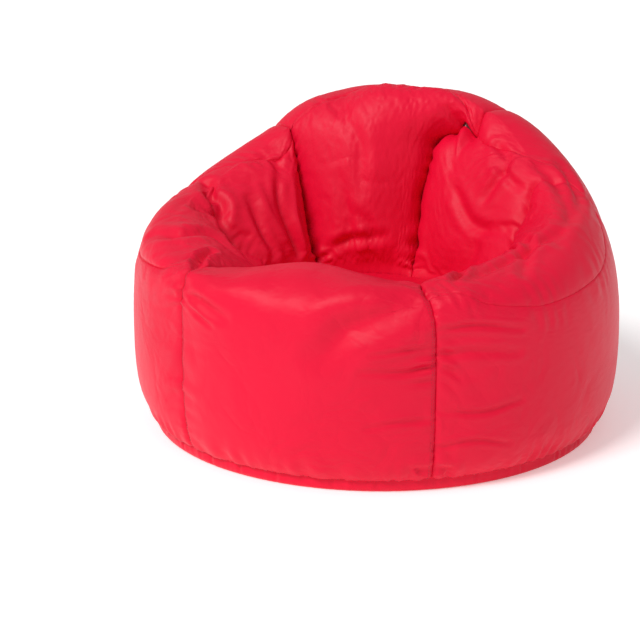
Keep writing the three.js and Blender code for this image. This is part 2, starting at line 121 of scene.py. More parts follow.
def around(table, angle):
    """A smooth value at each angle, from {angle: value}, closed round the chair."""
    keys = sorted(table)
    x = np.array([keys[-2] - 360, keys[-1] - 360, *keys, keys[0] + 360, keys[1] + 360], float)
    y = np.array([table[keys[-2]], table[keys[-1]], *[table[k] for k in keys], table[keys[0]], table[keys[1]]])
    slope = np.diff(y) / np.diff(x)
    near, far = np.diff(x)[:-1], np.diff(x)[1:]
    before, after = slope[:-1], slope[1:]
    with np.errstate(divide="ignore", invalid="ignore"):
        harmonic = (3 * near + 3 * far) / ((2 * far + near) / before + (far + 2 * near) / after)
    tangent = np.zeros(len(x))
    tangent[1:-1] = np.where(before * after > 0, harmonic, 0)
    a = np.asarray(angle, float) % 360
    i = np.clip(np.searchsorted(x, a, side="right") - 1, 1, len(x) - 3)
    h = x[i + 1] - x[i]
    t = (a - x[i]) / h
    return (
        (1 + 2 * t) * (1 - t) ** 2 * y[i] + t * (1 - t) ** 2 * h * tangent[i]
        + t * t * (3 - 2 * t) * y[i + 1] + t * t * (t - 1) * h * tangent[i + 1]
    )


def smooth(t):
    """A soft step from 0 to 1."""
    t = np.clip(t, 0, 1)
    return t * t * (3 - 2 * t)


def along(table, station):
    """Smooth steps through {station: value}, from the base (0) over the rim (1) to the seat (2)."""
    keys = np.array(sorted(table), float)
    values = np.array([table[k] for k in sorted(table)], float)
    i = np.clip(np.searchsorted(keys, station, side="right") - 1, 0, len(keys) - 2)
    return values[i] + (values[i + 1] - values[i]) * smooth((station - keys[i]) / (keys[i + 1] - keys[i]))


def quarter(t):
    """The fall of a rounded shoulder: 1 at 0, and 0 from 1 on."""
    return 1 - np.sqrt(1 - (1 - np.clip(t, 0, 1)) ** 2)


print("rim height at the back", round(float(around(RIM_HEIGHT, 180)), 3))

# %% [markdown]
# One line from the base up the wall, over the rim and down into the seat gives a cross-section. The
# wall is a super-ellipse, which is rounder or squarer with its power; the inside is a cubic curve.
# The outward direction comes from two nearby points, so any offset follows the surface.

# %% Smooth skin
def outline(angle, station):
    """Radius and height of the bag's skin."""
    height, rim = around(RIM_HEIGHT, angle), around(RIM_RADIUS, angle)
    pocket, low = around(POCKET_RADIUS, angle), around(POCKET_HEIGHT, angle)
    power = around(SHOULDER, angle)
    a = (1 - np.clip(station / LOWER, 0, 1)) * math.pi / 2
    r0 = SEAM_RADIUS + (WALL_RADIUS - SEAM_RADIUS) * np.cos(a) ** 0.9
    z0 = SEAM_HEIGHT + (WIDEST_HEIGHT - SEAM_HEIGHT) * (1 - np.sin(a) ** 1.15)
    a = np.clip((station - LOWER) / (1 - LOWER), 0, 1) * math.pi / 2
    r1 = rim + (WALL_RADIUS - rim) * np.clip(np.cos(a), 0, 1) ** power
    z1 = WIDEST_HEIGHT + (height - WIDEST_HEIGHT) * np.sin(a) ** power
    t = np.clip(station - 1, 0, 1)
    u = 1 - t
    in_r, low_r = rim - 0.30 * (rim - pocket), pocket + 0.40 * (rim - pocket)
    low_z = low + 0.04 * (height - low)
    r2 = u ** 3 * rim + 3 * t * u * u * in_r + 3 * t * t * u * low_r + t ** 3 * pocket
    z2 = u ** 3 * height + 3 * t * u * u * height + 3 * t * t * u * low_z + t ** 3 * low
    r = np.where(station < LOWER, r0, np.where(station < 1, r1, r2))
    return r, np.where(station < LOWER, z0, np.where(station < 1, z1, z2))


def shift(station):
    """How far forward the bag leans above its widest line."""
    return CENTRE_SHIFT * smooth((station - LOWER) / (1 - LOWER))


def skin(angle, station):
    """Points on the smooth skin, and the outward directions there."""
    r, z = outline(angle, station)
    r0, z0 = outline(angle, np.maximum(station - 0.006, 0))
    r1, z1 = outline(angle, np.minimum(station + 0.006, 2))
    run = np.hypot(r1 - r0, z1 - z0)
    out, up = (z1 - z0) / run, (r0 - r1) / run
    c = np.radians(angle)
    points = np.stack([r * np.sin(c), -r * np.cos(c) + shift(station), z], -1)
    return points, np.stack([out * np.sin(c), -out * np.cos(c), up], -1)


print("widest point", skin(np.array([90.0]), np.array([LOWER]))[0].round(3).tolist())

# %% [markdown]
# The fabric is folded in where seams and slumped filling pull it down: at the front corners, on the
# arms and at two deep folds in the back. Each fold is a line over the bag with a depth and a half
# width. Between folds the inside panels swell like pillows. The back seam is kept straight for the zip.

# %% Folds
CORNER_FOLD = dict(depth={0: 0.003, 0.85: 0.003, 1.0: 0.010, 1.3: 0.030, 1.6: 0.024, 2: 0.003},
                   width={0: 0.018, 0.8: 0.018, 1: 0.040, 2: 0.050})
BACK_FOLD = dict(depth={0: 0, 0.62: 0, 0.9: 0.018, 1.0: 0.028, 1.3: 0.054, 1.65: 0.040, 2: 0.004},
                 width={0: 0.050, 0.9: 0.050, 1.2: 0.040, 2: 0.030})
FOLDS = [
    dict(at={0: CORNER, 2: CORNER}, **CORNER_FOLD),
    dict(at={0: 112, 1: 112, 1.3: 113, 1.55: 107, 1.8: 76, 2: 56},
         depth={0: 0, 0.9: 0, 1.0: 0.002, 1.4: 0.015, 1.65: 0.018, 2: 0.003},
         width={0: 0.050, 1: 0.030, 1.4: 0.050, 2: 0.040}),
    dict(at={0: 148, 1: 150, 1.2: 160, 1.4: 170, 1.6: 172, 2: 169}, **BACK_FOLD),
    dict(at={0: 180, 2: 180}, depth=None, width={0: 0.050, 2: 0.050}),
    dict(at={0: 232, 2: 232}, **BACK_FOLD),
    dict(at={0: 266, 1: 264, 1.2: 266, 1.5: 278, 2: 300},
         depth={0: 0, 0.85: 0, 1.0: 0.003, 1.25: 0.010, 1.6: 0.016, 2: 0.003},
         width={0: 0.050, 1: 0.030, 1.4: 0.050, 2: 0.040}),
    dict(at={0: 360 - CORNER, 2: 360 - CORNER}, **CORNER_FOLD),
    dict(at={0: 360 + CORNER, 2: 360 + CORNER}, **CORNER_FOLD),
]
PILLOWS = [(0, 1, 0.014), (1, 2, 0.030), (2, 4, 0.058), (4, 5, 0.032), (5, 6, 0.022)]
FRONT = 6
ZIP_LOW, ZIP_HIGH, ZIP_RECESS = 0.080, 0.370, 0.003


def station_at(height):
    """The station on the back at a height."""
    stations = np.linspace(0, 1, 4001)
    return float(np.interp(height, outline(np.full(4001, 180.0), stations)[1], stations))


def back_reach(station):
    """How far back the bag reaches in the middle of its back."""
    return outline(180.0, station)[0] + shift(station)


ZIP_START = Vector((0, float(back_reach(station_at(ZIP_LOW))), ZIP_LOW))
ZIP_END = Vector((0, float(back_reach(station_at(ZIP_HIGH))), ZIP_HIGH))


def back_seam_depth(station):
    """How deep the back seam lies, so that the zip is straight."""
    height = outline(180.0, station)[1]
    t = (height - ZIP_LOW) / (ZIP_HIGH - ZIP_LOW)
    bow = back_reach(station) - (ZIP_START.y + (ZIP_END.y - ZIP_START.y) * t)
    return (ZIP_RECESS + max(0.0, float(bow))) * (1 - float(smooth((station - 0.8) / 0.2)))


def pillow(angle, station, row):
    """How far an inner panel swells between its two folds."""
    start = np.maximum(around(RIM_SEAM, angle), 1.0)
    v = np.clip((station - start) / (2 - start), 0, 1)
    height = np.zeros_like(angle)
    for first, last, most in PILLOWS:
        start, end = along(FOLDS[first]["at"], row), along(FOLDS[last]["at"], row)
        u = np.clip((angle - start) / (end - start), 0, 1)
        height = np.where((angle >= start) & (angle <= end), most * (1 - (2 * u - 1) ** 2), height)
    return height * (4 * v * (1 - v)) ** 0.7


def bay_row(bay, inner, v, columns):
    """One row of points between two folds, evenly spaced along the folded fabric, with their angles and stations."""
    row = 1 + v if inner else v
    first, last = FOLDS[bay], FOLDS[bay + 1]
    start, end = float(along(first["at"], row)), float(along(last["at"], row))
    seam_at = (lambda a: np.full_like(a, 0.97)) if bay == FRONT else (lambda a: around(RIM_SEAM, a))
    station_of = (lambda a: seam_at(a) + (2 - seam_at(a)) * v) if inner else (lambda a: seam_at(a) * v)
    three = np.array([start, (start + end) / 2, end])
    radii = outline(three, station_of(three))[0]
    span = math.radians(end - start) * (radii[0] + 2 * radii[1] + radii[2]) / 4
    depths = [float(along(f["depth"], row)) if f["depth"] else back_seam_depth(row) for f in (first, last)]
    widths = [min(float(along(f["width"], row)), 0.45 * span) for f in (first, last)]
    f = np.linspace(0, math.pi / 2, 14)
    x = np.concatenate([widths[0] * (1 - np.cos(f)), np.linspace(widths[0], span - widths[1], 30)[1:-1],
                        (span - widths[1] * (1 - np.cos(f)))[::-1]])
    d = np.concatenate([depths[0] * (1 - np.sin(f)), np.zeros(28), (depths[1] * (1 - np.sin(f)))[::-1]])
    length = np.concatenate([[0], np.cumsum(np.hypot(np.diff(x), np.diff(d)))])
    want = length[-1] * np.arange(columns + 1) / columns
    x, d = np.interp(want, length, x), np.interp(want, length, d)
    angle = start + (end - start) * x / span
    station = station_of(angle)
    points, normals = skin(angle, station)
    from_rim = np.linalg.norm(points - skin(angle, seam_at(angle))[0], axis=-1)
    from_pocket = np.linalg.norm(points - skin(angle, np.full_like(angle, 2.0))[0], axis=-1)
    rim_crease = around(RIM_CREASE_DEPTH, angle) * quarter(from_rim / around(RIM_CREASE_WIDTH, angle))
    crease = 0 if bay == FRONT else rim_crease
    depth = np.sqrt(d * d + crease * crease + (0.020 * quarter(from_pocket / 0.060)) ** 2)
    depth = depth - pillow(angle, station, max(row, 1.0))
    return points - depth[:, None] * normals, angle, station


# %% [markdown]
# The whole skin is first one grid of points, closed round the chair, so the cloth simulation can
# pull it as one piece. The columns follow the folds and the rows follow the rim seam, so every seam
# of the cover is a line of the grid, and the panels can be cut apart exactly there afterwards.

# %% Grid of the whole skin
PITCH = 0.0105
WALL_ROWS, INNER_ROWS = 70, 46
fold_starts = [float(along(fold["at"], 0)) for fold in FOLDS]
bay_columns = [
    max(6, round(math.radians(end - start) * WALL_RADIUS / PITCH)) for start, end in zip(fold_starts, fold_starts[1:])
]
bay_starts = [sum(bay_columns[:b]) for b in range(7)]
COLUMNS = sum(bay_columns)

rows, angles, stations = [], [], []
for inner, count in ((False, WALL_ROWS), (True, INNER_ROWS)):
    for i in range(1 if inner else 0, count + 1):
        bays = [bay_row(b, inner, i / count, bay_columns[b]) for b in range(7)]
        rows.append(np.concatenate([bay[0][:-1] for bay in bays]))
        angles.append(np.concatenate([bay[1][:-1] for bay in bays]))
        stations.append(np.concatenate([bay[2][:-1] for bay in bays]))
grid = np.array(rows)
angles, stations = np.array(angles), np.array(stations)
print("grid of", grid.shape[0], "rows and", COLUMNS, "columns; bays", bay_columns)

# %% [markdown]
# A cloth simulation gives the fabric its own small sags and ripples, which nobody could place by hand.
# The closed skin is blown up a little by pressure, as the beads press on it, while the sewn seams and
# the edge at the base are held. Gravity is off, because the beads carry the fabric. Cloth that is
# let out by a few per cent has to buckle, and that makes the wrinkles. Each point's way is capped.

# %% Blow the skin up as cloth
def deselect():
    if bpy.context.object and bpy.context.object.mode != "OBJECT":
        bpy.ops.object.mode_set(mode="OBJECT")
    bpy.ops.object.select_all(action="DESELECT")


def points_of(piece):
    flat = np.empty(len(piece.data.vertices) * 3)
    piece.data.vertices.foreach_get("co", flat)
    return flat.reshape(-1, 3)


def grid_faces(row_count, column_count, closed=True):
    i, j = np.meshgrid(np.arange(row_count - 1), np.arange(column_count if closed else column_count - 1), indexing="ij")
    k = (j + 1) % column_count
    a, b = i * column_count + j, i * column_count + k
    return np.stack([a, b, b + column_count, a + column_count], -1).reshape(-1, 4).tolist()


def mesh_piece(name, points, faces):
    """An object at the origin from points and a list of faces."""
    mesh = bpy.data.meshes.new(name)
    mesh.from_pydata(np.asarray(points, float).reshape(-1, 3).tolist(), [], faces)
    mesh.validate()
    mesh.update()
    piece = bpy.data.objects.new(name, mesh)
    bpy.context.scene.collection.objects.link(piece)
    return piece


def smooth_faces(piece):
    piece.data.polygons.foreach_set("use_smooth", [True] * len(piece.data.polygons))


def turned_out(piece):
    """Turn every face of a closed piece outwards."""
    box = bmesh.new()
    box.from_mesh(piece.data)
    bmesh.ops.recalc_face_normals(box, faces=box.faces)
    box.to_mesh(piece.data)
    box.free()


def belongs(piece, node, body="chair"):
    """Attach a piece to the body it rides on, and hide the CAD node that it stands for."""
    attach(piece, body)
    if node:
        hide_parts(node)


SEAM_ROW = WALL_ROWS
row_count = grid.shape[0]
held = np.zeros((row_count, COLUMNS))
held[:3] = 1
held[-3:] = 1
held[SEAM_ROW] = 0.15
for bay in range(7):
    held[:, bay_starts[bay]] = np.maximum(held[:, bay_starts[bay]], 0.7 if bay in (0, 6) else 0.3)
held[:SEAM_ROW, bay_starts[3]] = 0.8
held[SEAM_ROW + 1:-3, bay_starts[3]] = 0

rng = np.random.default_rng(5)


def blow_up(points, frames=16, cap=0.011):
    """The cloth simulation of the whole skin; returns the moved points."""
    cloth = mesh_piece("blown_skin", points, grid_faces(row_count, COLUMNS))
    hold = cloth.vertex_groups.new(name="held")
    flat = held.ravel()
    for weight in np.unique(flat[flat > 0]):
        hold.add(np.nonzero(flat == weight)[0].tolist(), float(weight), "REPLACE")
    deselect()
    bpy.context.view_layer.objects.active = cloth
    cloth.select_set(True)
    modifier = cloth.modifiers.new("cloth", "CLOTH")
    s = modifier.settings
    s.quality = 5
    s.mass = 0.25
    s.tension_stiffness = s.compression_stiffness = 12
    s.shear_stiffness = 4
    s.bending_stiffness = 0.2
    s.use_pressure = True
    s.uniform_pressure_force = 2.6
    s.vertex_group_mass = "held"
    s.pin_stiffness = 1
    s.shrink_min = -0.032
    s.effector_weights.gravity = 0
    modifier.collision_settings.use_collision = False
    modifier.point_cache.frame_end = frames
    for f in range(1, frames + 1):
        bpy.context.scene.frame_set(f)
    bpy.ops.object.modifier_apply(modifier=modifier.name)
    bpy.context.scene.frame_set(1)
    moved = points_of(cloth)
    bpy.data.objects.remove(cloth)
    way = moved - points.reshape(-1, 3)
    far = np.linalg.norm(way, axis=1, keepdims=True)
    mean_way, most_way = round(float(far.mean()) * 1000, 1), round(float(far.max()) * 1000, 1)
    print("cloth moved", mean_way, "mm on average and", most_way, "mm at most")
    return (points.reshape(-1, 3) + way * (cap * np.tanh(far / cap) / np.maximum(far, 1e-9))).reshape(points.shape)


def spread(values, times):
    """Average each grid value with its neighbours, several times."""
    for _ in range(times):
        sides = np.roll(values, 1, axis=1) + np.roll(values, -1, axis=1)
        ends = np.concatenate([values[:1], values[:-1]]) + np.concatenate([values[1:], values[-1:]])
        values = (2 * values + sides + ends) / 6
    return values


noise = rng.normal(0, 0.0004, grid.shape)
relaxed = grid + noise * (held[..., None] < 0.5)
relaxed = blow_up(relaxed)
calm = np.full((row_count, COLUMNS), 0.10)
calm[:SEAM_ROW - 4] = 0.68
calm[stations < 1.03] = 0.68
calm[:, bay_starts[FRONT]:] = 0.80
calm[SEAM_ROW + 24:, bay_starts[FRONT]:] = 0.3
calm = spread(calm, 10)[..., None]
way = relaxed - grid
relaxed = grid + way * (1 - calm) + spread(way, 24) * calm

# %% [markdown]
# The blown skin is cut into the cover's panels along its grid lines. Each panel is resampled by cubic
# interpolation to a finer grid whose lines crowd together at the seams, because a seam's groove is
# only a few millimetres wide. The lengths along the fabric are kept: they make the seam's profile,
# and a UV map in metres that the weave will follow.

# %% Panels from the grid
def cubic(values, at, axis):
    """Catmull-Rom interpolation of an array at fractional places along one axis."""
    v = np.moveaxis(values, axis, 0)
    v = np.concatenate([[2 * v[0] - v[1]], v, [2 * v[-1] - v[-2]]])
    i = np.clip(np.floor(at).astype(int), 0, len(v) - 4)
    t = (at - i).reshape(-1, *[1] * (v.ndim - 1))
    a, b, c, d = v[i], v[i + 1], v[i + 2], v[i + 3]
    out = b + 0.5 * t * (c - a + t * (2 * a - 5 * b + 4 * c - d + t * (3 * (b - c) + d - a)))
    return np.moveaxis(out, 0, axis)


def fine_places(count, pitch, step=0.005, edges=(0.0012, 0.0026, 0.0042, 0.0065, 0.0095)):
    """Places along a strip of count cells: dense at both ends, even between."""
    near = np.array((0.0, *edges)) / pitch
    middle = np.linspace(near[-1], count - near[-1], max(2, round((count - 2 * near[-1]) * pitch / step)) + 1)
    return np.concatenate([near[:-1], middle, (count - near[:-1])[::-1]])


def places_between(marks, pitch):
    """Places that are dense at every mark."""
    parts = [a + fine_places(b - a, pitch)[:-1] for a, b in zip(marks[:-1], marks[1:])]
    return np.concatenate([*parts, [marks[-1]]])


def sample(values, rows_at, columns_at):
    """Grid values at fractional rows and columns, closed round the chair."""
    closed = np.concatenate([values[:, -2:], values, values[:, :3]], axis=1)
    return cubic(cubic(closed, rows_at, 0), columns_at + 2, 1)


def directions(points):
    """Outward directions over a grid of points."""
    across = np.gradient(points, axis=1)
    up = np.gradient(points, axis=0)
    n = np.cross(across, up)
    return n / np.maximum(np.linalg.norm(n, axis=-1, keepdims=True), 1e-12)


def lengths(points, axis):
    """How far each point lies along the fabric from the grid's first line."""
    step = np.linalg.norm(np.diff(points, axis=axis), axis=-1)
    start = np.zeros_like(np.take(step, [0], axis=axis))
    return np.concatenate([start, np.cumsum(step, axis=axis)], axis=axis)


def wave(place, length, phase, wander=1.0):
    """An uneven ripple: its length and height wander along the seam."""
    k = 2 * math.pi * place / length
    height = 0.55 + 0.45 * np.sin(k / 5.3 + 2.1 * phase)
    return height * np.sin(k + phase + wander * 1.7 * np.sin(k / 6.1 + phase))


print("edge places, mm:", (fine_places(20, 0.01)[:6] * 10).round(1).tolist())

# %% [markdown]
# Creases that a person has sat and pushed into the bag are listed: each is a line over the
# skin, given by angles and stations, with a depth and a half width. A crease is a groove with a soft
# ridge on both sides, and it fades out towards its ends.

# %% Creases made by use
CREASE_STRENGTH = 1.35
CREASES = [
    # the inner left side, and the left arm
    dict(path=[(266, 0.97), (272, 1.10), (274, 1.26), (284, 1.40), (300, 1.50)], depth=0.011, width=0.012),
    dict(path=[(264, 1.36), (267, 1.54), (266, 1.72)], depth=0.008, width=0.009),
    dict(path=[(244, 1.24), (252, 1.43), (251, 1.68), (249, 1.80)], depth=0.008, width=0.009),
    dict(path=[(240, 1.34), (245, 1.60), (244, 1.80)], depth=-0.006, width=0.008),
    dict(path=[(258, 1.30), (259, 1.48), (258, 1.66)], depth=-0.005, width=0.008),
    dict(path=[(299, 0.84), (304, 1.03), (303, 1.30), (309, 1.46)], depth=0.008, width=0.015),
    dict(path=[(283, 1.15), (280, 1.32), (276, 1.55)], depth=0.005, width=0.010),
    dict(path=[(327, 0.97), (322, 1.08), (318, 1.22)], depth=0.012, width=0.008),
    # the right arm and the inner right side
    dict(path=[(132, 1.27), (124, 1.26), (116, 1.26)], depth=0.005, width=0.008),
    dict(path=[(136, 1.20), (125, 1.23), (126, 1.40)], depth=0.006, width=0.009),
    dict(path=[(122, 0.86), (108, 0.84), (92, 0.88)], depth=0.006, width=0.012),
    dict(path=[(118, 1.02), (112, 0.96), (96, 0.94), (78, 0.92)], depth=0.006, width=0.012),
    dict(path=[(40, 1.02), (46, 1.20), (52, 1.34)], depth=0.011, width=0.008),
    dict(path=[(44, 1.01), (58, 1.09), (77, 1.03), (84, 0.97)], depth=0.008, width=0.011),
    dict(path=[(95, 1.50), (76, 1.16), (58, 0.86)], depth=0.006, width=0.010),
    dict(path=[(84, 1.45), (72, 1.22), (66, 1.02)], depth=0.006, width=0.008),
    dict(path=[(110, 1.52), (128, 1.56), (146, 1.48)], depth=0.006, width=0.011),
    # the inner back
    dict(path=[(216, 1.50), (213, 1.68), (216, 1.86)], depth=0.004, width=0.013),
    dict(path=[(206, 1.66), (199, 1.72), (194, 1.80)], depth=0.004, width=0.010),
    dict(path=[(225, 1.80), (214, 1.80), (190, 1.77)], depth=0.006, width=0.010),
    dict(path=[(212, 1.20), (205, 1.38), (206, 1.56)], depth=0.004, width=0.014),
    # the front, and beside the front seams
    dict(path=[(34, 0.90), (24, 0.68), (13, 0.54), (7, 0.45)], depth=0.012, width=0.028),
    dict(path=[(329, 0.66), (336, 0.58), (343, 0.52)], depth=0.005, width=0.010),
    dict(path=[(329, 0.58), (335, 0.51), (340, 0.47)], depth=0.0032, width=0.0055),
    dict(path=[(31, 0.44), (26, 0.45), (18, 0.43)], depth=0.0028, width=0.0048),
    dict(path=[(31, 0.37), (25, 0.36), (15, 0.37)], depth=0.0032, width=0.0055),
    dict(path=[(31, 0.26), (24, 0.27), (17, 0.25)], depth=0.0028, width=0.0048),
    dict(path=[(32, 0.52), (40, 0.54), (52, 0.51)], depth=0.0032, width=0.0055),
    dict(path=[(32, 0.40), (39, 0.42), (50, 0.41)], depth=0.0035, width=0.008),
    dict(path=[(32, 0.29), (41, 0.28), (52, 0.30)], depth=0.0032, width=0.0055),
    dict(path=[(32, 0.18), (40, 0.20), (49, 0.18)], depth=0.0028, width=0.0048),
]


def place_on(points, angle, station):
    """The skin's point nearest to an angle and a station."""
    far = ((angles - angle + 180) % 360 - 180) ** 2 / 400 + (stations - station) ** 2
    return points[np.unravel_index(np.argmin(far), far.shape)]


def crease_depth(points, lines):
    """How deep the creases press each point in."""
    total = np.zeros(points.shape[:-1])
    for crease, line in zip(CREASES, lines):
        near = np.full(points.shape[:-1], 9.0)
        place = np.zeros(points.shape[:-1])
        for n, (a, b) in enumerate(zip(line[:-1], line[1:])):
            run = b - a
            t = np.clip(((points - a) @ run) / (run @ run), 0, 1)
            far = np.linalg.norm(points - (a + t[..., None] * run), axis=-1)
            closer = far < near
            near = np.where(closer, far, near)
            place = np.where(closer, (n + t) / (len(line) - 1), place)
        w = crease["width"]
        shape = np.exp(-(near / w) ** 2) - 0.35 * np.exp(-(((near - 2.1 * w) / (0.9 * w)) ** 2))
        fade = np.sin(np.pi * np.clip(0.08 + 0.84 * place, 0, 1)) ** 0.6
        total += CREASE_STRENGTH * crease["depth"] * shape * fade
    return total


def through(points, count=24):
    """A smooth line of points through a few."""
    points = np.array(points)
    return cubic(points, np.linspace(0, len(points) - 1, count), 0)


crease_lines = [through([place_on(relaxed, a, s) for a, s in c["path"]]) for c in CREASES]
print(len(CREASES), "creases placed")

# %% [markdown]
# A seam draws both fabrics in: a groove a few millimetres deep with a rounded shoulder, and small
# puckers along the stitching that die away within a few centimetres. Each edge is also turned under,
# so two panels meet in a dark line, as sewn fabric does. The panels at a seam share one ripple and
# one outward direction, or the seam would gape.

# %% How a panel is sewn
ROW_PITCH = 0.0095
SEAM_DEPTH, SEAM_SHOULDER, TURN_UNDER = 0.0024, 0.0060, 0.0070
STITCH_ROWS = (0.0040, 0.0090)
wrapped = np.concatenate([relaxed[:, -1:], relaxed, relaxed[:, :1]], axis=1)
outward = directions(wrapped)[:, 1:-1]


def pucker_depth(d, s, height=0.0017):
    """The ripple beside a seam, from the distance to it and the place along it."""
    short = height * np.exp(-d / 0.011) * wave(s, 0.0155, 1.3)
    return short + 1.7 * height * np.exp(-(((d - 0.024) / 0.024) ** 2)) * wave(s, 0.038, 0.4, 1.8)


ZIP_UP = (ZIP_END - ZIP_START).normalized()
ZIP_OUT = Vector((0, ZIP_UP.z, -ZIP_UP.y))
ZIP_LENGTH = (ZIP_END - ZIP_START).length
SLOT_HALF = 0.0076


def opened(points, side):
    """Move the back seam's edges apart over the zip, and lay them on its tape."""
    start, up_way, out_way = (np.array(v) for v in (ZIP_START, ZIP_UP, ZIP_OUT))
    up, out = (points - start) @ up_way, (points - start) @ out_way
    x = np.abs(points[..., 0]) * (points[..., 1] > 0.3) + 9.0 * (points[..., 1] <= 0.3)
    along_zip = smooth((up + 0.014) / 0.013) * smooth((ZIP_LENGTH + 0.014 - up) / 0.013)
    way = SLOT_HALF * along_zip * (1 - smooth(x / 0.045))
    near = along_zip * (1 - smooth((x - 0.004) / 0.016))
    moved = points.copy()
    moved[..., 0] += side * way
    return moved + ((-0.0022 - out) * near)[..., None] * out_way, near


def sewn(points, normals, far, place, strength):
    """Press the seams and creases into a panel; far and place hold the distance to each seam and the way along it."""
    groove = np.zeros(points.shape[:-1])
    ripple = np.zeros(points.shape[:-1])
    nearest = np.full(points.shape[:-1], 9.0)
    for side in far:
        groove = np.maximum(groove, strength[side] * SEAM_DEPTH * quarter(far[side] / SEAM_SHOULDER))
        ripple = np.where(far[side] < nearest, strength[side] * pucker_depth(far[side], place[side]), ripple)
        nearest = np.minimum(nearest, far[side])
    return points - (crease_depth(points, crease_lines) + groove + ripple)[..., None] * normals


def with_uv(piece, u, v):
    """Give a piece a UV map in metres along the fabric, and smooth it."""
    layer = piece.data.uv_layers.new(name="fabric")
    loops = np.empty(len(piece.data.loops), int)
    piece.data.loops.foreach_get("vertex_index", loops)
    layer.data.foreach_set("uv", np.stack([u.ravel()[loops], v.ravel()[loops]], -1).ravel())
    smooth_faces(piece)


# %% [markdown]
# Each panel of the cover is one piece in the same place as its CAD panel, which it replaces. The front
# is one long piece that runs up the wall, over the crest and down into the seat; the sides end at the
# seam along the rim.

# %% Sew the panels
panels = {}
TOP = row_count - 1
once_round = np.concatenate([relaxed, relaxed[:, :1]], axis=1)
row_run, column_run = lengths(once_round, 0), lengths(once_round, 1)


def panel(name, node, first_row, last_row, first_bay, last_bay, zip_side=0):
    """One panel of the cover, between two rows and two folds of the grid."""
    marks = [bay_starts[b] for b in range(first_bay, last_bay + 1)] + [bay_starts[last_bay] + bay_columns[last_bay]]
    up = places_between([first_row, *([SEAM_ROW] if first_row < SEAM_ROW < last_row else []), last_row], ROW_PITCH)
    across = places_between(marks, PITCH)
    points, normals = sample(relaxed, up, across), sample(outward, up, across)

    def at_place(run):
        return cubic(cubic(run, up, 0), across, 1)

    normals /= np.linalg.norm(normals, axis=-1, keepdims=True)
    u, v = lengths(points, 1), lengths(points, 0)
    even = 0 * u
    far = {"left": u, "right": u[:, -1:] - u, "low": v, "high": v[-1:] - v}
    place = {
        "left": even + at_place(row_run)[:, :1] + 3 * first_bay,
        "right": even + at_place(row_run)[:, -1:] + 3 * ((last_bay + 1) % 7),
        "low": even + at_place(column_run)[:1] + (31 if first_row else 0),
        "high": even + at_place(column_run)[-1:] + 31,
    }
    strength = {"left": 1, "right": 1, "low": 0.4 if first_row else 1, "high": 0.4}
    finished = sewn(points, normals, far, place, strength)
    under = np.full(u.shape, TURN_UNDER)
    if zip_side:
        finished, near = opened(finished, zip_side)
        under = TURN_UNDER * (1 - near) + 0.0004 * near
    rim = np.pad(finished - under[..., None] * normals, ((1, 1), (1, 1), (0, 0)), mode="edge")
    rim[1:-1, 1:-1] = finished
    piece = mesh_piece(name, rim, grid_faces(*rim.shape[:2], closed=False))
    with_uv(piece, np.pad(u, 1, mode="edge"), np.pad(v, 1, mode="edge"))
    belongs(piece, node)
    panels[name] = dict(points=finished, normals=normals, far=far)
    print(name, len(piece.data.polygons), "faces")
    return piece


cover = [
    panel("front_cover", "front_panel", 0, TOP, 6, 6),
    panel("right_side_cover", "right_side_panel", 0, SEAM_ROW, 0, 2, zip_side=1),
    panel("left_side_cover", "left_side_panel", 0, SEAM_ROW, 3, 5, zip_side=-1),
    panel("inner_right_cover", "inner_right_panel", SEAM_ROW, TOP, 0, 1),
    panel("inner_back_cover", "inner_back_panel", SEAM_ROW, TOP, 2, 3),
    panel("inner_left_cover", "inner_left_panel", SEAM_ROW, TOP, 4, 5),
]

# %% [markdown]
# The seat and the base are round panels sewn into the ring of the others. Both start at the same
# ring of points as their neighbours. The base is stiffer: it stands up as a low band round the
# floor, with a small tuck wherever the maker eased the fuller side panels in.

# %% Seat panel
def ring(values, count):
    """A closed ring of grid values, resampled evenly."""
    padded = np.concatenate([values[-2:], values, values[:3]])
    return cubic(padded, 2 + np.arange(count) * len(values) / count, 0)


def disc_faces(ring_count, column_count):
    """Rings of faces and a fan at the last point."""
    faces = grid_faces(ring_count, column_count)
    last = (ring_count - 1) * column_count
    centre = ring_count * column_count
    fan = [[last + j, last + (j + 1) % column_count, centre] for j in range(column_count)]
    return faces, fan


def round_piece(name, node, rings):
    """A round panel of the cover from its rings, edge first, closed at the middle of the last one."""
    faces, fan = disc_faces(len(rings), len(rings[0]))
    points = np.concatenate([*rings, rings[-1].mean(axis=0)[None]])
    piece = mesh_piece(name, points, faces + fan)
    with_uv(piece, points[:, 0], points[:, 1])
    belongs(piece, node)
    print(name, len(piece.data.polygons), "faces")
    return piece


SEAT_COLUMNS = 240
edge, edge_out = ring(relaxed[TOP], SEAT_COLUMNS), ring(outward[TOP], SEAT_COLUMNS)
edge_out /= np.linalg.norm(edge_out, axis=-1, keepdims=True)
edge_place = np.interp(np.arange(SEAT_COLUMNS) * COLUMNS / SEAT_COLUMNS, np.arange(COLUMNS + 1), column_run[TOP]) + 31
drawn_in = 0.4 * (SEAM_DEPTH + pucker_depth(0.0, edge_place)) + crease_depth(edge, crease_lines)
edge = edge - drawn_in[:, None] * edge_out
middle = edge.mean(axis=0)
rings = [edge - TURN_UNDER * edge_out]
for share in (1, 0.985, 0.96, 0.93, 0.89, 0.84, 0.77, 0.69, 0.6, 0.5, 0.4, 0.3, 0.2, 0.1):
    row = middle + (edge - middle) * share
    away = np.linalg.norm(edge - middle, axis=-1) * (1 - share)
    row[:, 2] += 0.012 * (1 - share ** 2) + 0.006 * (1 - quarter(away / 0.02)) - 0.006 * (share == 1)
    row[:, 2] -= pucker_depth(away, edge_place, 0.0006) * (share < 1)
    row[:, 2] += 0.004 * np.sin(3 * edge_place + 5 * share) * share * (1 - share)
    rings.append(row)
seat = round_piece("seat_cover", "seat_panel", rings)

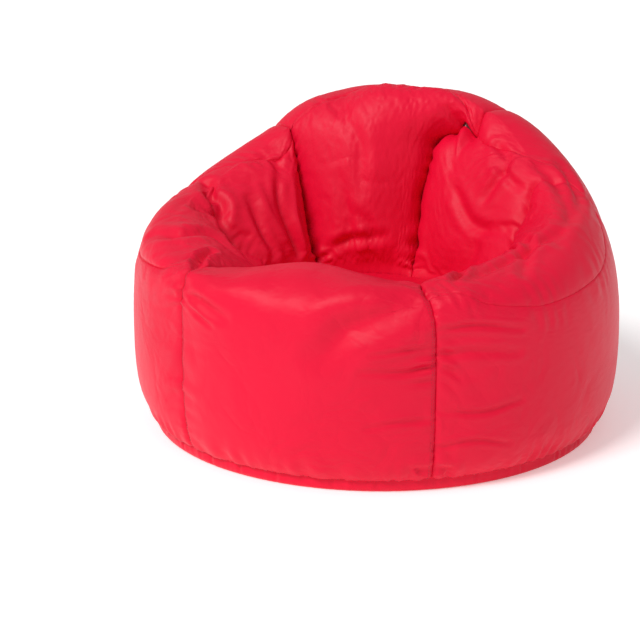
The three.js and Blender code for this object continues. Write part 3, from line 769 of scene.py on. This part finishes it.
# %% [markdown]
# The base's band leans out a little and rounds under on to the floor. The tucks are short pinches at
# uneven distances. Underneath, the fabric lies flat on the floor.

# %% Base panel with its band
BASE_COLUMNS = 900
TUCK_SPACING, TUCK_WANDER = 11.6, 2.2
edge, edge_out = ring(relaxed[0], BASE_COLUMNS), ring(outward[0], BASE_COLUMNS)
edge_out /= np.linalg.norm(edge_out, axis=-1, keepdims=True)
edge_place = np.interp(np.arange(BASE_COLUMNS) * COLUMNS / BASE_COLUMNS, np.arange(COLUMNS + 1), column_run[0])
edge = edge - (SEAM_DEPTH + pucker_depth(0.0, edge_place))[:, None] * edge_out
flat_way = edge * (1, 1, 0)
flat_way /= np.linalg.norm(flat_way, axis=-1, keepdims=True)
turn = np.linspace(0, 360, BASE_COLUMNS, endpoint=False)
tucks = np.zeros(BASE_COLUMNS)
tuck_places = np.arange(0, 360, TUCK_SPACING)
for at in tuck_places + rng.uniform(-TUCK_WANDER, TUCK_WANDER, len(tuck_places)):
    away = ((turn - at + 180) % 360 - 180) * math.radians(1) * BASE_RADIUS
    tucks += 0.0022 * np.exp(-(away / 0.0035) ** 2) - 0.0008 * np.exp(-((np.abs(away) - 0.009) / 0.005) ** 2)
rings = [edge - TURN_UNDER * edge_out]
for out, height, pinch in (
    (0.0, None, 1), (-0.0002, 0.0215, 1), (0.0003, 0.0175, 0.9), (0.0002, 0.0125, 0.7), (-0.0008, 0.0075, 0.45),
    (-0.0026, 0.0035, 0.25), (-0.0060, 0.0008, 0.1), (-0.012, 0.0, 0), (-0.03, 0.0, 0), (-0.09, 0.0, 0),
    (-0.16, 0.0, 0), (-0.24, 0.0, 0), (-0.32, 0.0, 0), (-0.40, 0.0, 0),
):
    row = edge + (out - pinch * tucks - 0.0006 * pinch * wave(edge_place, 0.03, 0.9))[:, None] * flat_way
    if height is not None:
        row[:, 2] = height
    if out < -0.02:
        row[:, 2] = 0.0006 * (1 + np.sin(9 * np.radians(turn) + 40 * out)) * smooth((-out - 0.02) / 0.05)
    rings.append(row)
base = round_piece("base_cover", "base_panel", rings)

# %% [markdown]
# Inside the cover is a thin liner full of beads. Both follow the skin at a small depth, so they are
# made from the same grid, closed at the seat and at the base with a few rings and a fan. Under a
# crease they stay low for two cells on each side, so neither shows through the cover.

# %% Liner and beads
NOTCH_BAYS, NOTCH_DROP, NOTCH_REACH = (2, 4), 0.040, 0.06


def inner_bag(name, node, depth):
    """A closed bag at a depth under the skin; it hangs lower at the tops of the two back folds."""
    dent = crease_depth(relaxed, crease_lines)
    dent = np.max([np.roll(dent, step, axis) for axis in (0, 1) for step in range(-2, 3)], axis=0)
    inset = relaxed - (np.maximum(dent, 0) + depth)[..., None] * outward
    for bay in NOTCH_BAYS:
        notch = relaxed[SEAM_ROW, bay_starts[bay]]
        inset[..., 2] -= NOTCH_DROP * np.exp(-(np.linalg.norm(relaxed - notch, axis=-1) / NOTCH_REACH) ** 2)
    seat_side = slice(-8, None)
    inset[seat_side, :, 2] = np.minimum(inset[seat_side, :, 2], relaxed[seat_side, :, 2] - depth)
    low, high = inset[0].copy(), inset[-1].copy()
    low[:, 2] = depth
    low_middle, high_middle = low.mean(axis=0), high.mean(axis=0)
    closing = [low_middle + (low - low_middle) * share for share in (0.25, 0.5, 0.75, 0.97)]
    closing_high = [high_middle + (high - high_middle) * share for share in (0.7, 0.4, 0.15)]
    rings = [*closing, *inset, *closing_high]
    faces, fan = disc_faces(len(rings), COLUMNS)
    first = len(rings) * COLUMNS + 1
    fan += [[(j + 1) % COLUMNS, j, first] for j in range(COLUMNS)]
    bag = mesh_piece(name, np.concatenate([*rings, high_middle[None], low_middle[None]]), faces + fan)
    smooth_faces(bag)
    belongs(bag, node)
    print(name, "at a depth of", depth * 1000, "mm,", len(bag.data.polygons), "faces")
    return bag


liner = inner_bag("liner_bag", "inner_liner", 0.0120)
beads = inner_bag("bead_heap", "bead_fill", 0.0165)

# %% [markdown]
# Topstitching runs beside the front seams, the base seam and the back seam, where the maker
# sewed the seam a second time for strength. A stitch is a short bead of thread whose ends dip into
# the cloth. A row is laid along the line at a fixed distance from the seam.

# %% Topstitching
def tube_faces(ring_count, sides, first=0):
    """Faces of a tube made of rings, with both ends capped."""
    faces = []
    for start in range(first, first + (ring_count - 1) * sides, sides):
        for k in range(sides):
            a, b = start + k, start + (k + 1) % sides
            faces.append([a, b, b + sides, a + sides])
    last = first + (ring_count - 1) * sides
    return [*faces, [first + k for k in range(sides)][::-1], [last + k for k in range(sides)]]


def stitch_line(name, side, offset):
    """The points and outward directions along one row of stitches."""
    far, points, normals = panels[name]["far"][side], panels[name]["points"], panels[name]["normals"]
    if side in ("left", "right"):
        far, points, normals = far.T, points.transpose(1, 0, 2), normals.transpose(1, 0, 2)
    if side in ("right", "high"):
        far, points, normals = far[::-1], points[::-1], normals[::-1]
    after = np.argmax(far > offset, axis=0)
    pick = np.arange(far.shape[1])
    t = ((offset - far[after - 1, pick]) / (far[after, pick] - far[after - 1, pick]))[:, None]
    line = points[after - 1, pick] * (1 - t) + points[after, pick] * t
    return line, normals[after - 1, pick]


def stitches(name, lines, length=0.0040, pitch=0.0056, thickness=0.0008):
    """A piece of many stitches along several lines."""
    points, faces = [], []
    sides = 5
    turns = 2 * math.pi * np.arange(sides) / sides
    for line, normal in lines:
        run = np.concatenate([[0], np.cumsum(np.linalg.norm(np.diff(line, axis=0), axis=1))])
        for at in np.arange(0.005, run[-1] - 0.008, pitch):
            places = at + length * np.array([0, 0.2, 0.5, 0.8, 1])
            spine = np.stack([np.interp(places, run, line[:, k]) for k in range(3)], -1)
            out = np.array([np.interp(at, run, normal[:, k]) for k in range(3)])
            along_it = spine[-1] - spine[0]
            aside = np.cross(out, along_it)
            aside /= np.linalg.norm(aside)
            spine += np.array([-0.5, 0.25, 0.45, 0.25, -0.5])[:, None] * thickness * out
            first = len(points)
            for centre, wide in zip(spine, (0.3, 0.48, 0.5, 0.48, 0.3)):
                for a in turns:
                    points.append(centre + wide * thickness * (math.cos(a) * aside + 0.8 * math.sin(a) * out))
            faces += tube_faces(5, sides, first)
    thread = mesh_piece(name, points, faces)
    turned_out(thread)
    smooth_faces(thread)
    belongs(thread, None)
    print(name, len(points) // (5 * sides), "stitches")
    return thread


SINGLE_ROW, BASE_STITCH_ROW = 0.0040, 0.0045
threads = [
    stitches("front_right_stitching", [stitch_line("front_cover", "right", d) for d in STITCH_ROWS]),
    stitches("front_left_stitching", [stitch_line("front_cover", "left", d) for d in STITCH_ROWS]),
    stitches("back_seam_stitching", [stitch_line("right_side_cover", "right", SINGLE_ROW),
                                     stitch_line("left_side_cover", "left", SINGLE_ROW)]),
    stitches("base_seam_stitching", [stitch_line(name, "low", BASE_STITCH_ROW)
                                     for name in ("front_cover", "right_side_cover", "left_side_cover")]),
]

# %% [markdown]
# The zip's tapes are woven strips with a firm edge by the coil. A closed cross-section is swept along
# the tape's length. Places on the zip are given across, outwards and up from its lower end, as the CAD has them.

# %% Zip tapes
TAPE_FACE, TAPE_THICK = -0.0030, 0.0008


def on_zip(across, out, up):
    """A point from its place across, out and up the zip."""
    return ZIP_START + Vector((1, 0, 0)) * across + ZIP_OUT * out + ZIP_UP * up


def tape(name, node, side):
    low, high = TAPE_FACE - TAPE_THICK, TAPE_FACE
    profile = [(0.0007, low), (0.0007, high), (0.0034, high), (0.0040, high - 0.00012), (0.0110, high - 0.00012),
               (0.0122, high), (0.0133, high), (0.0138, high - 0.0002), (0.0138, low + 0.0002), (0.0133, low)]
    steps, overhang = 120, 0.0015
    points = []
    for i in range(steps + 1):
        up = -overhang + (ZIP_LENGTH + 2 * overhang) * i / steps
        points += [on_zip(side * x, z, up) for x, z in profile]
    strip = mesh_piece(name, points, tube_faces(steps + 1, len(profile)))
    turned_out(strip)
    belongs(strip, node)
    return strip


tapes = [tape("right_tape", "zip_tape_right", 1), tape("left_tape", "zip_tape_left", -1)]
print("tapes", [len(t.data.polygons) for t in tapes], "faces")

# %% [markdown]
# A coil zip's teeth are one nylon wire wound as a flattened coil on each tape. Each loop has a few
# points only, because there are over a hundred of them. The coils on both tapes are half a loop apart,
# so that their heads lie between each other.

# %% Zip coils
LOOP, WIRE, COIL_GAP = 0.0018, 0.00036, 0.006


def coil(name, node, side):
    """One tape's coil; the left one starts half a loop later."""
    round_points, sides = 10, 5
    low, high = COIL_GAP, ZIP_LENGTH - COIL_GAP
    turns = (high - low - LOOP) / LOOP
    count = int(turns * round_points)
    spine = []
    for i in range(count):
        a = 2 * math.pi * i / round_points
        up = low + LOOP / 2 + LOOP * i / round_points + (LOOP / 2 if side < 0 else 0)
        across = 0.00168 - 0.00088 * math.cos(a)
        out = TAPE_FACE + 0.00082 + 0.00042 * math.sin(a)
        spine.append(on_zip(side * across, out, min(up, high - 0.0004)))
    points = []
    for i, here in enumerate(spine):
        way = (spine[min(i + 1, count - 1)] - spine[max(i - 1, 0)]).normalized()
        first = way.cross(ZIP_UP).normalized()
        second = way.cross(first)
        for k in range(sides):
            b = 2 * math.pi * k / sides
            points.append(here + WIRE * (math.cos(b) * first + math.sin(b) * second))
    wound = mesh_piece(name, points, tube_faces(count, sides))
    turned_out(wound)
    smooth_faces(wound)
    belongs(wound, node)
    print(name, round(turns), "loops")
    return wound


coils = [coil("right_coil", "zip_coil_right", 1), coil("left_coil", "zip_coil_left", -1)]

# %% [markdown]
# The slider, its pull and the two end stops are small castings. Each is made from a few blocks joined
# into one, rounded with a bevel, and then laid in place on the zip. Millimetres on the zip are used for
# the blocks, because the numbers stay readable.

# %% Slider, pull and stops
def block(across, out, up, taper=1.0):
    """A block between three pairs of millimetres across, out and up the zip; taper narrows its lower end."""
    deselect()
    bpy.ops.mesh.primitive_cube_add(size=1)
    cube = bpy.context.object
    low, high = np.array([across[0], out[0], up[0]]), np.array([across[1], out[1], up[1]])
    for vertex in cube.data.vertices:
        share = np.array(vertex.co) + 0.5
        place = low + (high - low) * share
        if share[2] < 0.5:
            place[0] *= taper
        vertex.co = on_zip(*(place / 1000))
    return cube


def rod(across, out, up, radius, corners=20):
    """A round rod that runs across the zip."""
    deselect()
    bpy.ops.mesh.primitive_cylinder_add(vertices=corners, radius=radius / 1000, depth=(across[1] - across[0]) / 1000)
    pin = bpy.context.object
    for vertex in pin.data.vertices:
        x, y, z = vertex.co
        vertex.co = on_zip((across[0] + across[1]) / 2000 + z, out / 1000 + y, up / 1000 + x)
    return pin


def use(piece, modifier):
    """Apply one modifier of one piece."""
    deselect()
    bpy.context.view_layer.objects.active = piece
    piece.select_set(True)
    bpy.ops.object.modifier_apply(modifier=modifier.name)


def cast(name, node, body, parts, cuts=(), bevel=0.25):
    whole = parts[0]
    for other, way in [(p, "UNION") for p in parts[1:]] + [(c, "DIFFERENCE") for c in cuts]:
        fit = whole.modifiers.new("fit", "BOOLEAN")
        fit.operation, fit.object, fit.solver = way, other, "EXACT"
        use(whole, fit)
        bpy.data.objects.remove(other)
    edge_round = whole.modifiers.new("round", "BEVEL")
    edge_round.width, edge_round.segments, edge_round.limit_method = bevel / 1000, 2, "ANGLE"
    use(whole, edge_round)
    turned_out(whole)
    bpy.ops.object.shade_smooth_by_angle(angle=math.radians(40))
    whole.name = whole.data.name = name
    belongs(whole, node, body)
    print(name, len(whole.data.polygons), "faces")
    return whole


TOP_PLATE = (-1.05, 0.15)
HINGE_OUT_MM, HINGE_UP_MM = 2.05, 16.3
slider = cast(
    "slider_body", "zip_slider", "zip_slider",
    [
        block((-5.5, 5.5), TOP_PLATE, (6.3, 22.3), taper=0.86),
        block((-5.5, 5.5), (-5.35, -4.15), (6.3, 22.3), taper=0.86),
        block((-0.35, 0.35), (-4.4, -0.85), (17.3, 21.3)),
        block((-5.5, -4.3), (-2.6, -0.85), (6.3, 22.3), taper=0.86),
        block((4.3, 5.5), (-2.6, -0.85), (6.3, 22.3), taper=0.86),
        block((-2.8, -1.8), (-0.05, 3.45), (14.7, 17.9)),
        block((1.8, 2.8), (-0.05, 3.45), (14.7, 17.9)),
        rod((-2.6, 2.6), HINGE_OUT_MM, HINGE_UP_MM, 0.8),
    ],
    bevel=0.18,
)
pull = cast(
    "pull_tab", "zip_pull", "zip_pull",
    [
        rod((-1.5, 1.5), HINGE_OUT_MM, HINGE_UP_MM, 1.75, corners=24),
        block((-1.5, 1.5), (1.25, 2.85), (10.3, HINGE_UP_MM)),
        block((-3.5, 3.5), (1.25, 2.85), (HINGE_UP_MM - 36, HINGE_UP_MM - 5), taper=0.8),
    ],
    [
        rod((-2.0, 2.0), HINGE_OUT_MM, HINGE_UP_MM, 0.88, corners=24),
        block((-1.7, 1.7), (2.45, 3.2), (HINGE_UP_MM - 32, HINGE_UP_MM - 9), taper=0.8),
    ],
    bevel=0.3,
)
ZIP_END_MM = ZIP_LENGTH * 1000
stops = [
    cast(name, f"zip_{name}", "chair", [block((-3.4, 3.4), (-2.95, -0.6), up)], bevel=0.5)
    for name, up in (("bottom_stop", (1, 5.7)), ("top_stop", (ZIP_END_MM - 5.7, ZIP_END_MM - 1)))
]

# %% [markdown]
# Materials are made of nodes. A small class lets shader sums be written as ordinary arithmetic, and
# one method makes any other node. Colours and vectors go through Mix and Vector Math nodes.

# %% Writing materials
class Value:
    """A number inside a shader, with arithmetic."""

    def __init__(self, material, socket):
        self.material, self.socket = material, socket

    def maths(self, operation, *others, clamp=False):
        node = self.material.tree.nodes.new("ShaderNodeMath")
        node.operation, node.use_clamp = operation, clamp
        for place, value in enumerate((self, *others)):
            self.material.plug(node.inputs[place], value)
        return Value(self.material, node.outputs[0])

    def limited(self, times=1.0):
        """Multiply, and keep the result between 0 and 1."""
        return self.maths("MULTIPLY", times, clamp=True)

    def __add__(self, other):
        return self.maths("ADD", other)

    def __sub__(self, other):
        return self.maths("SUBTRACT", other)

    def __mul__(self, other):
        return self.maths("MULTIPLY", other)

    def __radd__(self, other):
        return self + other

    def __rmul__(self, other):
        return self * other

    def __rsub__(self, other):
        return (self * -1) + other


class Finish:
    """The nodes round one shader, of a new material or of the world."""

    def __init__(self, name, made_in=bpy.data.materials, shader="Principled BSDF", **settings):
        self.owner = made_in.new(name)
        self.owner.use_nodes = True
        self.tree = self.owner.node_tree
        self.shader = self.tree.nodes[shader]
        for socket, value in settings.items():
            self.plug(self.shader.inputs[socket.replace("_", " ")], value)

    def plug(self, socket, value):
        if isinstance(value, Value):
            self.tree.links.new(value.socket, socket)
        elif isinstance(value, bpy.types.NodeSocket):
            self.tree.links.new(value, socket)
        else:
            socket.default_value = value

    def node(self, kind, settings=None, inputs=None):
        """Any node, from its type, its settings and its inputs' values or links."""
        made = self.tree.nodes.new(kind)
        for name, value in (settings or {}).items():
            setattr(made, name, value)
        for name, value in (inputs or {}).items():
            self.plug(made.inputs[name], value)
        return made

    def pattern(self, kind, places, scale, settings=None, **inputs):
        """A texture's value over the piece."""
        made = self.node(kind, settings, {"Vector": places, "Scale": scale, **inputs})
        return Value(self, made.outputs[0])

    def object_places(self):
        return self.node("ShaderNodeTexCoord").outputs["Object"]

    def mix(self, factor, first, second):
        return self.node("ShaderNodeMix", dict(data_type="RGBA"), {0: factor, 6: first, 7: second}).outputs[2]

    def bump(self, height, depth, under=None):
        inputs = dict(Strength=1.0, Distance=depth, Height=height)
        return self.node("ShaderNodeBump", None, inputs if under is None else {**inputs, "Normal": under}).outputs[0]

    def coat(self, pieces, **inputs):
        """Plug the last inputs of the shader, and paint the pieces with it."""
        for socket, value in inputs.items():
            self.plug(self.shader.inputs[socket.replace("_", " ")], value)
        for piece in pieces:
            piece.data.materials.clear()
            piece.data.materials.append(self.owner)


NOISE, WAVES, CELLS = "ShaderNodeTexNoise", "ShaderNodeTexWave", "ShaderNodeTexVoronoi"

# %% [markdown]
# The cover is a coated, plain-woven nylon: a saturated pinkish red, fairly smooth, with broad soft
# highlights. The threads cross about two to the millimetre, which only shows close up. The coating
# makes the cloth stiff like paper, so it keeps small sharp crumples; a warped ridge pattern a few
# centimetres wide makes them, stronger in some places than in others.

# %% Red fabric
RED, DEEP_RED = (0.78, 0.004, 0.038, 1), (0.64, 0.003, 0.028, 1)
fabric = Finish("red_fabric", Specular_IOR_Level=0.18)
places = fabric.object_places()
cloth_uv = fabric.node("ShaderNodeUVMap", dict(uv_map="fabric")).outputs[0]
warp = fabric.node(NOISE, None, {"Vector": places, "Scale": 7.0, "Detail": 1.0}).outputs["Color"]
bend = fabric.node("ShaderNodeVectorMath", dict(operation="MULTIPLY_ADD"), {0: warp, 1: (0.12, 0.12, 0.12), 2: places})
bent = bend.outputs[0]


def ridges(scale, phase):
    """Thin crease lines: where a noise passes its middle."""
    moved = fabric.node("ShaderNodeVectorMath", dict(operation="ADD"), {0: bent, 1: (phase, 2 * phase, -phase)})
    return (fabric.pattern(NOISE, moved.outputs[0], scale, Detail=0.0) - 0.5).maths("ABSOLUTE").limited(7.0)


amount = ((fabric.pattern(NOISE, places, 5.5, Detail=1.0) - 0.42) * 5.0).limited()
facets, small_facets = (fabric.pattern(CELLS, bent, scale, dict(feature="DISTANCE_TO_EDGE")) for scale in (13.0, 31.0))
crumple = (ridges(11, 0.3) * 0.35 + facets + small_facets * 0.4) * (amount * 0.75 + 0.25)
weave_x, weave_y = (
    fabric.pattern(WAVES, cloth_uv, 160.0, dict(wave_type="BANDS", bands_direction=way)) for way in "XY"
)
cloudy = fabric.pattern(NOISE, places, 3.0, Detail=3.0)
fabric.coat(
    [*cover, seat, base],
    Base_Color=fabric.mix((cloudy - 0.35).limited(1.2), RED, DEEP_RED),
    Roughness=0.36 + cloudy * 0.14,
    Normal=fabric.bump(weave_x + weave_y, 0.00006, fabric.bump(crumple, 0.0036)),
)

# %% [markdown]
# The thread is a shade deeper than the cloth and not shiny. The liner is a non-woven dyed dark red, so
# that it isn't noticed at the seams, and the beads show as packed balls of 3 to 4 mm, white in the middle and turning
# grey towards their edges, which is painted shade between the balls. They can only be seen where a cover is opened.

# %% Thread, liner and beads
thread = Finish("red_thread", Base_Color=(0.46, 0.012, 0.034, 1), Roughness=0.6)
twist = thread.pattern(NOISE, thread.object_places(), 1800.0, Detail=1.0)
thread.coat(threads, Normal=thread.bump(twist, 0.0001))

lining = Finish("dark_red_liner", Roughness=0.85)
fibres = lining.pattern(NOISE, lining.object_places(), 420.0, Detail=4.0)
lining.coat([liner], Base_Color=lining.mix(fibres, (0.10, 0.006, 0.012, 1), (0.16, 0.010, 0.018, 1)),
            Normal=lining.bump(fibres, 0.0003))

foam = Finish("white_beads", Roughness=0.7)
balls = foam.pattern(CELLS, foam.object_places(), 260.0)
# the grey towards each ball's edge is painted shade in the gaps between the balls
foam.coat([beads], Base_Color=foam.mix(balls.limited(1.4), (0.9, 0.9, 0.89, 1), (0.55, 0.55, 0.54, 1)),
          Normal=foam.bump(1.0 - balls, 0.0015))
print("thread, liner and beads done")

# %% [markdown]
# The zip is black nylon and plated metal. Tape is a fine twill with a herringbone; the coil is
# smooth, half-shiny wire; the slider is a little worn, in uneven patches.

# %% Zip materials
tape_cloth = Finish("black_tape", Roughness=0.8)
diagonal = dict(wave_type="BANDS", bands_direction="DIAGONAL")
twill = tape_cloth.pattern(WAVES, tape_cloth.object_places(), 420.0, diagonal, Distortion=0.6, Detail=1.0)
tape_cloth.coat(tapes, Base_Color=tape_cloth.mix(twill, (0.014, 0.014, 0.016, 1), (0.040, 0.040, 0.044, 1)),
                Normal=tape_cloth.bump(twill, 0.00015))

wire = Finish("black_coil", Base_Color=(0.018, 0.018, 0.020, 1))
wire.coat(coils, Roughness=0.30 + wire.pattern(NOISE, wire.object_places(), 260.0, Detail=2.0) * 0.2)

metal = Finish("dark_plated_metal", Metallic=1.0)
worn = metal.pattern(NOISE, metal.object_places(), 160.0, Detail=3.0)
metal.coat(
    [slider, pull, *stops],
    Base_Color=metal.mix((worn * 3.0 - 1.4).limited(), (0.07, 0.07, 0.075, 1), (0.20, 0.19, 0.18, 1)),
    Roughness=0.28 + worn * 0.22,
    Normal=metal.bump(worn, 0.00008),
)
print("materials", [m.name for m in bpy.data.materials])

# %% [markdown]
# The chair stands on a plain, nearly white floor in a bright studio. A white sky gives soft light from
# everywhere and looks pure white. A wide, soft sun from the front and left shapes the bag, and a large
# lamp beside it makes the broad highlights. The plain 'Standard' view keeps the red saturated.

# %% Floor, light and view
deselect()
bpy.ops.mesh.primitive_plane_add(size=60)
floor = bpy.context.object
floor.name = "studio_floor"
ground = Finish("pale_floor", Base_Color=(0.93, 0.93, 0.93, 1), Roughness=0.9, Emission_Color=(1, 1, 1, 1),
                Emission_Strength=0.3)
ground.coat([floor])
floor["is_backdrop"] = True

SKY_LIGHT, SKY_SEEN = 0.46, 1.05
studio = Finish("studio", bpy.data.worlds, "Background", Color=(1, 1, 1, 1))
seen = studio.node("ShaderNodeLightPath").outputs["Is Camera Ray"]
brightness = studio.node("ShaderNodeMapRange", None, {"Value": seen, "To Min": SKY_LIGHT, "To Max": SKY_SEEN})
studio.plug(studio.shader.inputs["Strength"], brightness.outputs["Result"])
bpy.context.scene.world = studio.owner


def aimed(holder, place, aim=(0, 0, 0.3)):
    """Put a lamp at a place and point it."""
    holder.location = place
    holder.rotation_euler = (Vector(aim) - Vector(place)).to_track_quat("-Z", "Y").to_euler()
    return holder


def lamp(name, kind, strength, **settings):
    """A new lamp in the scene."""
    made = bpy.data.lights.new(name, kind)
    made.energy = strength
    for setting, value in settings.items():
        setattr(made, setting, value)
    holder = bpy.data.objects.new(name, made)
    bpy.context.scene.collection.objects.link(holder)
    return holder


aimed(lamp("sky_lamp", "SUN", 1.75, angle=math.radians(18)), (-0.9, -2.2, 3.1))
aimed(lamp("key_lamp", "AREA", 16, shape="SQUARE", size=1.2), (-1.5, -2.4, 2.3))
bpy.context.scene.view_settings.view_transform = "Standard"
bpy.context.scene.view_settings.look = "None"
bpy.context.view_layer.update()

# %% [markdown]
# Last, the finished model's box is printed beside the CAD's, axis by axis.

# %% Print the size beside the CAD's
finished_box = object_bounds()
for axis, low, high, cad_low, cad_high in zip("xyz", *finished_box, *cad_box):
    print(axis, "finished", round(low, 4), round(high, 4), "CAD", round(cad_low, 4), round(cad_high, 4))
